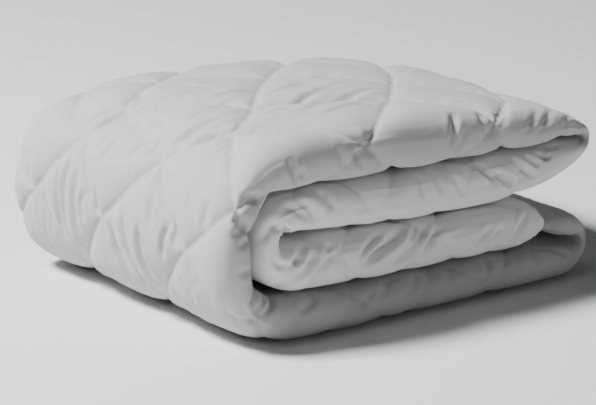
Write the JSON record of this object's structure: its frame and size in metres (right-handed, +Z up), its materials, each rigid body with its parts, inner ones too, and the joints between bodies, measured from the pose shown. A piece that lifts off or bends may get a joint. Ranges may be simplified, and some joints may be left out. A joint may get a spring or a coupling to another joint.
{
  "type": "folded quilted comforter",
  "caption": "Padded bed comforter with a diamond-quilted shell, folded lengthwise and then back and forth into a soft storable pile that rests flat.",
  "frame": {"origin": "centre of the bounding box's bottom face, on the surface that the pile rests on", "axes": "+X along the layered long face towards the folds' loose ends, +Y from the layered face towards the back, +Z up"},
  "size_m": [0.6698, 0.5382, 0.2858],
  "materials": {
    "comforter_cloth": "matt brushed microfibre shell over polyester filling, cool light grey, stitched in diamonds"
  },
  "bodies": {
    "root": {"folded_comforter": "comforter_cloth"}
  },
  "joints": []
}
